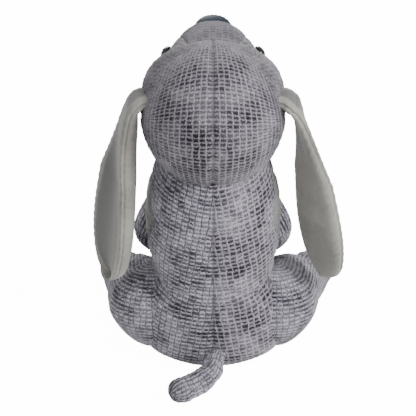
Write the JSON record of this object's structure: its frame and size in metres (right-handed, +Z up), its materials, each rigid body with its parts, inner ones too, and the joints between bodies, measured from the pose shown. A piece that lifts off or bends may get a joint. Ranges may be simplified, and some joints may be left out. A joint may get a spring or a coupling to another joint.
{
  "type": "plush dog",
  "caption": "Sitting plush dog with a round head, hanging suede ears, textured grid-plush body, splayed legs and a curled tail.",
  "frame": {"origin": "centre of the flat seat panel that the dog sits on", "axes": "+Z up; the dog faces -Y, so +X is its own left side; metres"},
  "size_m": [0.1953, 0.2058, 0.2563],
  "materials": {
    "plush_weave": "grid-embossed short plush, matte",
    "suede": "brushed micro suede, matte",
    "nose_cloth": "close satin stitch",
    "thread": "polyester sewing thread",
    "filling": "polyester fibre fill",
    "pellet_cloth": "plain cotton bag with plastic pellets",
    "eye_plastic": "polished",
    "washer_plastic": "moulded"
  },
  "bodies": {
    "torso": {"back_panel_left": "plush_weave", "back_panel_right": "plush_weave", "belly_panel": "suede", "seat_panel": "suede", "body_stuffing": "filling", "pellet_bag": "pellet_cloth", "back_seam_stitching": "thread"},
    "neck": {"neck_stitching": "thread"},
    "head": {"head_panel_left": "plush_weave", "head_panel_right": "plush_weave", "cheek_panel_left": "plush_weave", "cheek_panel_right": "plush_weave", "muzzle_top_panel": "plush_weave", "chin_panel": "suede", "head_base_panel": "plush_weave", "head_stuffing": "filling", "head_seam_stitching": "thread", "nose_cover": "nose_cloth", "nose_wadding": "filling", "eye_left": "eye_plastic", "eye_right": "eye_plastic", "eye_washer_left": "washer_plastic", "eye_washer_right": "washer_plastic", "mouth_stitching": "nose_cloth"},
    "ear_left": {"ear_outer_left": "suede", "ear_inner_left": "suede", "ear_wadding_left": "filling"},
    "ear_right": {"ear_outer_right": "suede", "ear_inner_right": "suede", "ear_wadding_right": "filling"},
    "front_leg_left": {"front_leg_outer_left": "plush_weave", "front_leg_inner_left": "suede", "front_paw_pad_left": "suede", "front_leg_stuffing_left": "filling"},
    "front_leg_right": {"front_leg_outer_right": "plush_weave", "front_leg_inner_right": "suede", "front_paw_pad_right": "suede", "front_leg_stuffing_right": "filling"},
    "hind_leg_left": {"hind_leg_outer_left": "plush_weave", "hind_leg_inner_left": "plush_weave", "foot_pad_left": "suede", "hind_leg_stuffing_left": "filling"},
    "hind_leg_right": {"hind_leg_outer_right": "plush_weave", "hind_leg_inner_right": "plush_weave", "foot_pad_right": "suede", "hind_leg_stuffing_right": "filling"},
    "tail": {"tail_upper_panel": "plush_weave", "tail_lower_panel": "plush_weave", "tail_stuffing": "filling"}
  },
  "joints": [
    {"name": "head_turn", "type": "hinge", "parent": "torso", "child": "neck", "pos_m": [0, -0.012, 0.20036], "axis": [0, 0, 1], "range_deg": [-12, 12], "stiffness_Nm_per_rad": 1.5},
    {"name": "head_nod", "type": "hinge", "parent": "neck", "child": "head", "pos_m": [0, -0.012, 0.20036], "axis": [-1, 0, 0], "range_deg": [-8, 6], "stiffness_Nm_per_rad": 2},
    {"name": "ear_left_swing", "type": "hinge", "parent": "head", "child": "ear_left", "pos_m": [0.05805, -0.005, 0.21436], "axis": [0, -1, 0], "range_deg": [0, 100]},
    {"name": "ear_right_swing", "type": "hinge", "parent": "head", "child": "ear_right", "pos_m": [-0.05805, -0.005, 0.21436], "axis": [0, 1, 0], "range_deg": [0, 100]},
    {"name": "front_leg_left_swing", "type": "hinge", "parent": "torso", "child": "front_leg_left", "pos_m": [0.03451, -0.06021, 0.118], "axis": [-1, 0, 0], "range_deg": [0, 35], "stiffness_Nm_per_rad": 0.4},
    {"name": "hind_leg_left_lift", "type": "hinge", "parent": "torso", "child": "hind_leg_left", "pos_m": [0.0498, 0.006, 0.0364], "axis": [-1, 0, 0], "range_deg": [0, 8], "stiffness_Nm_per_rad": 0.8},
    {"name": "front_leg_right_swing", "type": "hinge", "parent": "torso", "child": "front_leg_right", "pos_m": [-0.03451, -0.06021, 0.118], "axis": [-1, 0, 0], "range_deg": [0, 35], "stiffness_Nm_per_rad": 0.4},
    {"name": "hind_leg_right_lift", "type": "hinge", "parent": "torso", "child": "hind_leg_right", "pos_m": [-0.0498, 0.006, 0.0364], "axis": [-1, 0, 0], "range_deg": [0, 8], "stiffness_Nm_per_rad": 0.8},
    {"name": "tail_wag", "type": "hinge", "parent": "torso", "child": "tail", "pos_m": [-0.003, 0.05743, 0.0175], "axis": [0, 0, 1], "range_deg": [-30, 30], "stiffness_Nm_per_rad": 0.08}
  ]
}
